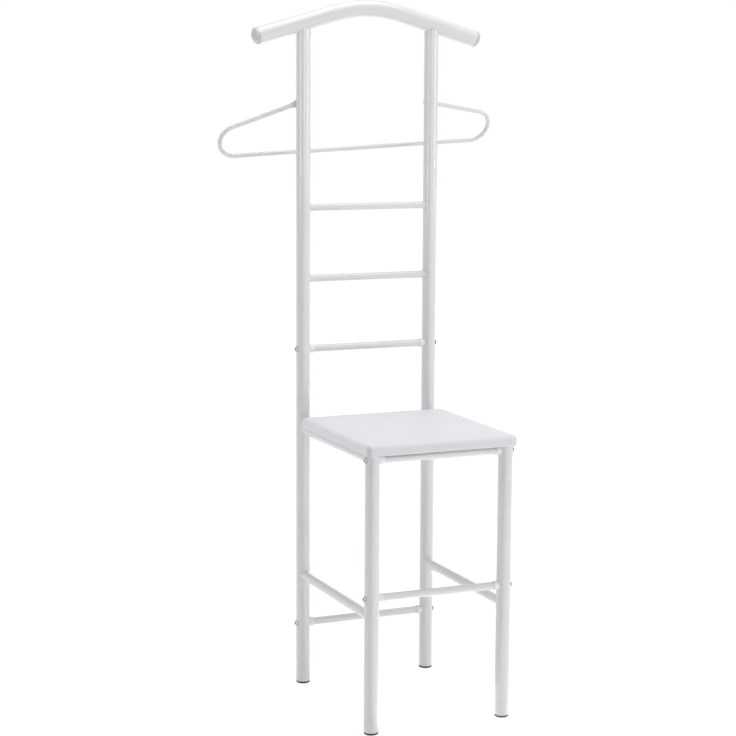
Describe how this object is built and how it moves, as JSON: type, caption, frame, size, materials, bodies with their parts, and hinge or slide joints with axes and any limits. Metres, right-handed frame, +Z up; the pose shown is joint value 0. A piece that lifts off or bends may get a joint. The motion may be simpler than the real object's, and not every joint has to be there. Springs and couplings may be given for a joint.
{
  "type": "clothes valet chair",
  "caption": "Slim stool with a padded seat whose rear legs rise as a ladder back to a bent shoulder bar, with a wire loop behind for trousers.",
  "frame": {"origin": "on the floor, under the middle of the overall box", "axes": "+Z up, -Y the way a person on the seat faces, +X to the right seen from the front"},
  "size_m": [0.5218, 0.4029, 1.222],
  "materials": {
    "frame_paint": "white semi-gloss powder coat",
    "cap_plastic": "satin, a little warmer and greyer than the frame",
    "saddle_plastic": "white moulded plastic",
    "foot_plastic": "black moulded plastic",
    "zinc_plate": "dull zinc plate",
    "plain_steel": "bare steel, hidden inside the frame",
    "board_wood": "bare chipboard",
    "foam": "open-cell foam",
    "seat_vinyl": "white fine-grained imitation leather, satin"
  },
  "bodies": {
    "root": {"hanger_bar": "frame_paint", "bar_cap_left": "cap_plastic", "bar_cap_right": "cap_plastic", "upright_left": "frame_paint", "upright_right": "frame_paint", "rung_upper": "frame_paint", "rung_middle": "frame_paint", "rung_lower": "frame_paint", "trouser_loop": "frame_paint", "loop_screws": "zinc_plate", "loop_rivet_nuts": "plain_steel", "spigot_left": "plain_steel", "spigot_right": "plain_steel", "rear_leg_left": "frame_paint", "rear_leg_right": "frame_paint", "front_leg_left": "frame_paint", "front_leg_right": "frame_paint", "seat_rail_left": "frame_paint", "seat_rail_right": "frame_paint", "side_rail_left": "frame_paint", "side_rail_right": "frame_paint", "front_seat_rail": "frame_paint", "front_lower_rail": "frame_paint", "rear_lower_rail": "frame_paint", "rung_saddles": "saddle_plastic", "front_seat_saddles": "saddle_plastic", "front_lower_saddles": "saddle_plastic", "rear_lower_saddles": "saddle_plastic", "rail_inserts": "plain_steel", "rail_screws": "zinc_plate", "leg_plug_left": "saddle_plastic", "leg_plug_right": "saddle_plastic", "foot_rear_left": "foot_plastic", "foot_rear_right": "foot_plastic", "foot_front_left": "foot_plastic", "foot_front_right": "foot_plastic", "seat_board": "board_wood", "seat_foam": "foam", "seat_cover": "seat_vinyl", "cover_staples": "plain_steel", "seat_washers": "saddle_plastic", "seat_screws": "zinc_plate"}
  },
  "joints": []
}
